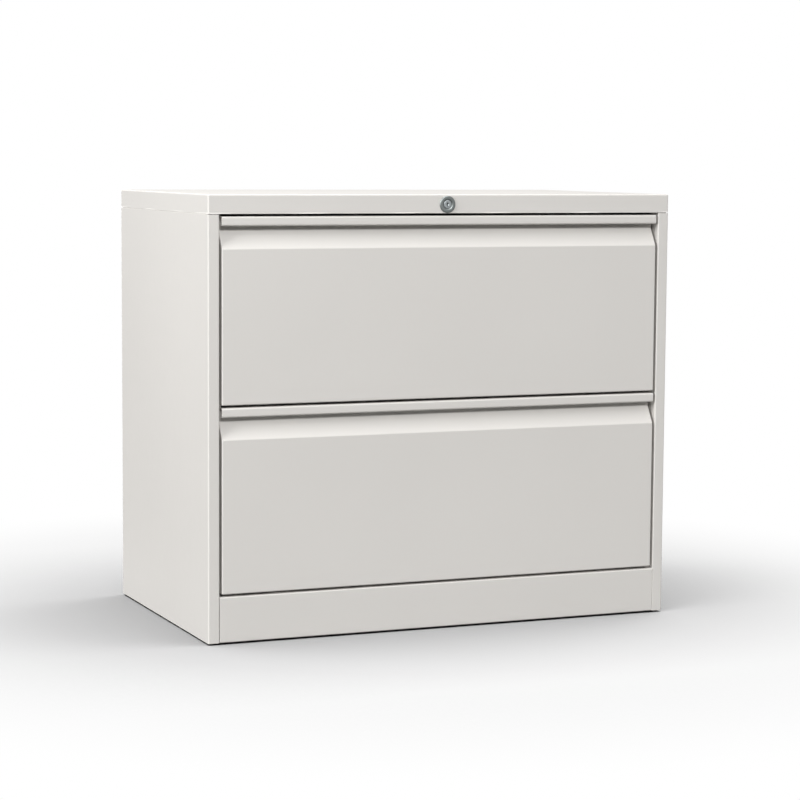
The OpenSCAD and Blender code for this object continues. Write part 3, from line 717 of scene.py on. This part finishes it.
def make_drawer_face(level):
    """A pressed pan: the face, the crease, the sloping panel and the recess wall in one skin that
    rolls over at both ends, its face very slightly uneven."""
    low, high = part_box(f"drawer_front_{level}")
    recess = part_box(f"pull_rail_{level}")[0].z - FINGER_GAP
    crease = recess - BEVEL_H
    wall = low.y + RECESS_DEPTH
    corners = [(high.y, low.z), (low.y, low.z), (low.y, crease), (wall, recess), (wall, high.z),
               (high.y, high.z)]
    line = rounded(corners, [0, PAN_R, CREASE_R, PAN_R, SHEET, 0])
    line = finer(line, 24 * MM)
    ends = [math.radians(90) * k / 5 for k in range(6)]
    roll = 0.95 * PAN_R
    places = [(low.x + roll * (1 - math.cos(a)), roll * (1 - math.sin(a))) for a in ends]
    places += [(x, 0) for x in stations(low.x + roll + 3 * MM, high.x - roll - 3 * MM, 32 * MM)]
    places += [(high.x - roll * (1 - math.cos(a)), roll * (1 - math.sin(a))) for a in ends[::-1]]
    # The line a metre further in, so that a share of the way to it is a distance in metres
    metre_in = beside(line, -1)
    rings = []
    for x, inset in places:
        ring = [at.lerp(to, inset) for at, to in zip(line, metre_in)]
        rings.append([Vector((x, p.x, p.y)) for p in ring])
    seed = 5 if level == "upper" else 9
    for ring in rings:
        for point in ring:
            if point.y < low.y + 1 * MM:
                held = min(point.x - low.x, high.x - point.x, point.z - low.z, crease - point.z)
                at = (point.x, 0, point.z)
                point.y += give(at, 0.16, seed, 0.30 * MM, held, (6 * MM, 50 * MM))
    bm = thicken(loft(rings, closed=False), Vector((0, -1, 0)))
    piece(f"drawer_face_{level}", bm, f"drawer_front_{level}")


def make_rail(level):
    """The rolled pull rail, one strip with three soft folds."""
    low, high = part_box(f"pull_rail_{level}")
    corners = [(high.y, high.z), (low.y, high.z), (low.y, low.z), (low.y + RAIL_LIP, low.z),
               (low.y + RAIL_LIP, low.z + RAIL_LIP)]
    line = rounded(corners, [0, RAIL_R, RAIL_R, RAIL_R, 0], steps=8)
    bm = loft(along_x(sheet_section(line), stations(low.x, high.x, 60 * MM)))
    piece(f"finger_rail_{level}", bm, f"pull_rail_{level}")


def make_tray(level):
    """The tray: one folded trough with pressed ribs along its floor and a swage in each side."""
    low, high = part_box(f"tray_{level}")
    top, floor = high.z, low.z
    hem = high.x - TRAY_HEM
    turned = top - TRAY_HEM_RETURN
    corners = [(-hem, turned), (-hem, top), (low.x, top), (low.x, floor), (high.x, floor),
               (high.x, top), (hem, top), (hem, turned)]
    line = rounded(corners, [0] + [TRAY_R] * 6 + [0])
    ribs = [high.x * share for share in RIB_SHARES]
    swage = floor + SWAGE_UP
    line = finer(line, 3 * MM)
    inner = beside(line, SHEET)
    ys = sorted(set(stations(low.y, high.y, 34 * MM))
                | set(stations(low.y + 22 * MM, low.y + 40 * MM, 2 * MM))
                | set(stations(high.y - 40 * MM, high.y - 22 * MM, 2 * MM)))

    def pressed(at, y):
        ends = smooth_step(min(y - low.y, high.y - y), 24 * MM, 38 * MM)
        if abs(at.y - floor) < 1.5 * MM:
            near = min(abs(at.x - rib) for rib in ribs)
            return Vector((0, -RIB_DEPTH * ends * (1 - smooth_step(near, 4 * MM, 9 * MM))))
        if abs(abs(at.x) - high.x) < 1.5 * MM:
            depth = SWAGE_DEPTH * ends * (1 - smooth_step(abs(at.y - swage), 3 * MM, 8 * MM))
            return Vector((-math.copysign(depth, at.x), 0))
        return Vector((0, 0))

    rings = []
    for y in ys:
        section = [at + pressed(at, y) for at in line + inner[::-1]]
        rings.append([Vector((p.x, y, p.y)) for p in section])
    piece(f"drawer_tray_{level}", loft(rings), f"tray_{level}")


# --- Slides ---------------------------------------------------------------------------------


def make_ball_cage(which, level):
    """Stamped strips with a collar round each ball, for both slides of a drawer."""
    node = f"{which}_ball_cages_{level}"
    low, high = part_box(node)
    radius = BALL_R[which]
    mouth, rim, half = radius * 0.8, radius + 0.35 * MM, 0.9 * MM
    collar = [(mouth, -half), (rim, -half), (rim, half), (mouth, half)]
    cages = bmesh.new()
    balls = bmesh.new()
    for side in (-1, 1):
        for z in (low.z + radius, high.z - radius):
            x = side * (high.x - CAGE_HALF)
            left, right = x - CAGE_HALF, x + CAGE_HALF
            outline = [(left, low.y), (right, low.y), (right, high.y), (left, high.y)]
            strip = rounded(outline, [1.6 * MM] * 4, closed=True)
            loft(along_z(strip, (z - 0.4 * MM, z + 0.4 * MM)), into=cages)
            for k in range(BALLS):
                y = low.y + (high.y - low.y) * (k + 0.5) / BALLS
                lathe(collar, 20, (x, y, z), into=cages)
                bmesh.ops.create_uvsphere(balls, u_segments=20, v_segments=12, radius=radius,
                                          matrix=Matrix.Translation((x, y, z)))
    piece(f"{which}_cage_strips_{level}", cages, node, bevel=0.1 * MM, slot="zinc")
    piece(f"{which}_cage_balls_{level}", balls, node, bevel=0)


# --- Screws, lock and feet ------------------------------------------------------------------


def screw_head():
    """Pan head with a tapered cross recess, on +Z, with its underside at 0."""
    dome = [(0.05 * MM, 0), (SCREW_HEAD_R - 0.3 * MM, 0), (SCREW_HEAD_R, 0.3 * MM),
            (SCREW_HEAD_R, 1.0 * MM)]
    dome += [(SCREW_HEAD_R * math.cos(a), 1.0 * MM + 1.4 * MM * math.sin(a))
             for a in (math.radians(15 * k) for k in range(1, 6))] + [(0.05 * MM, 2.4 * MM)]
    head = lathe(dome, 32)
    for turn in (0, 90):
        spin = Matrix.Rotation(math.radians(turn), 3, "Z")
        blade = []
        for z, reach, half in ((0.9 * MM, 1.1 * MM, 0.3 * MM), (2.6 * MM, 2.3 * MM, 0.48 * MM)):
            ring = [(-reach, -half), (reach, -half), (reach, half), (-reach, half)]
            blade.append([spin @ Vector((x, y, z)) for x, y in ring])
        head = cut(head, loft(blade))
    return head


def add_copy(target, source, matrix):
    """Adds a copy of one mesh, placed by a matrix, to another."""
    mesh = bpy.data.meshes.new("copy_work")
    source.to_mesh(mesh)
    mesh.transform(matrix)
    target.from_mesh(mesh)
    bpy.data.meshes.remove(mesh)


def thread(radius, length, pitch, depth, steps):
    """Round stem along +Z with a helical thread and a short chamfer at both ends."""
    rings = []
    for z in stations(0, length, pitch / 5):
        end = smooth_step(min(z, length - z), 0, pitch)
        ring = []
        for k in range(steps):
            phase = (z / pitch - k / steps) % 1.0
            r = radius - depth * (abs(2 * phase - 1) * end + (1 - end))
            a = 2 * math.pi * k / steps
            ring.append(Vector((r * math.cos(a), r * math.sin(a), z)))
        rings.append(ring)
    return loft(rings)


def screw(length):
    """A whole screw: its head on +Z and its threaded shank below."""
    bm = screw_head()
    shank = thread(SCREW_R, length + 0.5 * MM, 0.8 * MM, 0.25 * MM, 16)
    add_copy(bm, shank, Matrix.Translation((0, 0, -length)))
    shank.free()
    return bm


def make_back_screws():
    """The screws down both sides of the back panel."""
    one = screw(9 * MM)
    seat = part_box("back_panel")[1].y
    low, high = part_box("back_screws")
    bm = bmesh.new()
    for x in (low.x + SCREW_HEAD_R, high.x - SCREW_HEAD_R):
        for k in range(5):
            z = low.z + SCREW_HEAD_R + (high.z - low.z - 2 * SCREW_HEAD_R) * k / 4
            turn = Matrix.Rotation(math.radians(-90), 4, "X") @ Matrix.Rotation(1.3 * k + x, 4, "Z")
            add_copy(bm, one, Matrix.Translation((x, seat, z)) @ turn)
    one.free()
    piece("back_fixings", bm, "back_screws", bevel=0)


def make_tray_screws(level):
    """The screws that hold a tray to the flanges of its front and its back."""
    one = screw(5 * MM)
    low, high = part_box(f"tray_{level}")
    bottom = low.z - TRAY_FLOOR
    bm = bmesh.new()
    places = [(low.y + FRONT_SCREWS_IN, up) for up in FRONT_SCREWS_UP]
    places += [(high.y - REAR_SCREWS_IN, up) for up in REAR_SCREWS_UP]
    for side in (-1, 1):
        for k, (y, up) in enumerate(places):
            at = Matrix.Translation((side * (high.x - 2 * SHEET), y, bottom + up))
            turn = Matrix.Rotation(math.radians(-90) * side, 4, "Y") @ Matrix.Rotation(1.1 * k, 4, "Z")
            add_copy(bm, one, at @ turn)
    one.free()
    piece(f"tray_fixings_{level}", bm, f"drawer_screws_{level}", bevel=0)


def make_lock_rim():
    """The lock's housing: a barrel behind a turned rim with a dished face."""
    low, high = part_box("lock_housing")
    centre_z = (low.z + high.z) / 2
    face, collar = low.y, low.y + LOCK_PROUD
    rim, bore = (high.z - low.z) / 2, CORE_R + 0.05 * MM
    profile = [(bore, high.y - face), (BARREL_R, high.y - face), (BARREL_R, collar - face + 0.1 * MM),
               (rim, collar - face), (rim, 0.9 * MM), (rim - 0.25 * MM, 0.45 * MM),
               (rim - 0.7 * MM, 0.12 * MM), (rim - 1.3 * MM, 0), (bore + 1.6 * MM, 0),
               (bore + 1.2 * MM, 0.12 * MM), (bore + 0.8 * MM, 0.45 * MM), (bore + 0.3 * MM, 0.5 * MM),
               (bore, 0.75 * MM)]
    bm = lathe(profile + profile[:1], 64, capped=False)
    bmesh.ops.remove_doubles(bm, verts=bm.verts[:], dist=0.000001)
    bmesh.ops.recalc_face_normals(bm, faces=bm.faces)
    bm.transform(facing_front((0, face, centre_z)))
    piece("lock_rim", bm, "lock_housing", bevel=0)


def make_lock_core():
    """The lock's core, with its keyway cut in from the front."""
    low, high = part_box("lock_cylinder")
    centre_z = (low.z + high.z) / 2
    length, radius = high.y - low.y, CORE_R - 0.02 * MM
    profile = [(0.05 * MM, 0.2 * MM), (2.2 * MM, 0.2 * MM), (2.5 * MM, 0), (5.9 * MM, 0),
               (6.4 * MM, 0.1 * MM), (6.8 * MM, 0.4 * MM), (radius, 0.8 * MM), (radius, length),
               (0.05 * MM, length)]
    core = lathe(profile, 64)
    slot = [[Vector((x * MM, y * MM, z)) for x, y in KEYWAY] for z in (-1 * MM, 9 * MM)]
    core = cut(core, loft(slot))
    core.transform(facing_front((0, low.y, centre_z)))
    piece("lock_core_face", core, "lock_cylinder", bevel=0.12 * MM)


def make_foot(place):
    """Levelling foot: ribbed moulded pad, chamfered hexagon and threaded stem."""
    node = f"foot_{place}"
    low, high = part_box(node)
    centre = Vector(((low.x + high.x) / 2, (low.y + high.y) / 2, 0))
    radius = (high.x - low.x) / 2
    steps = 144
    profile = [(0.1 * MM, 0), (radius - 1.5 * MM, 0), (radius - 0.8 * MM, 0.3 * MM),
               (radius - 0.2 * MM, 1.0 * MM), (radius, 1.8 * MM), (radius, 4.0 * MM),
               (radius - 0.3 * MM, 4.7 * MM), (radius - 1.2 * MM, 5.1 * MM), (10 * MM, 6.8 * MM),
               (9 * MM, PAD_TOP), (0.1 * MM, PAD_TOP)]
    rings = []
    for r, z in profile:
        groove = 0.35 * MM if 0.9 * MM < z < 4.8 * MM and r > 12 * MM else 0
        ring = []
        for k in range(steps):
            a = 2 * math.pi * k / steps
            grip = r - groove * (0.5 - 0.5 * math.cos(24 * a))
            ring.append(centre + Vector((grip * math.cos(a), grip * math.sin(a), z)))
        rings.append(ring)
    bm = loft(rings)
    nut = [(NUT_R, PAD_TOP - 0.4 * MM), (NUT_R, NUT_TOP - 0.6 * MM), (NUT_R - 0.5 * MM, NUT_TOP)]
    lathe(nut, 6, centre, into=bm)
    stem = thread(STEM_R, high.z - STEM_FOOT, 1.25 * MM, 0.55 * MM, 24)
    add_copy(bm, stem, Matrix.Translation(centre + Vector((0, 0, STEM_FOOT))))
    stem.free()
    piece(f"leveller_{place}", bm, node, bevel=0)


make_camera()
make_studio()
dress_all()
make_cap()
make_plinth()
for side in ("left", "right"):
    make_side(side)
make_back()
for level in ("upper", "lower"):
    make_drawer_face(level)
    make_rail(level)
    make_tray(level)
    make_tray_screws(level)
    for which in ("outer", "inner"):
        make_ball_cage(which, level)
make_back_screws()
make_lock_rim()
make_lock_core()
for place in ("front_left", "front_right", "rear_left", "rear_right"):
    make_foot(place)
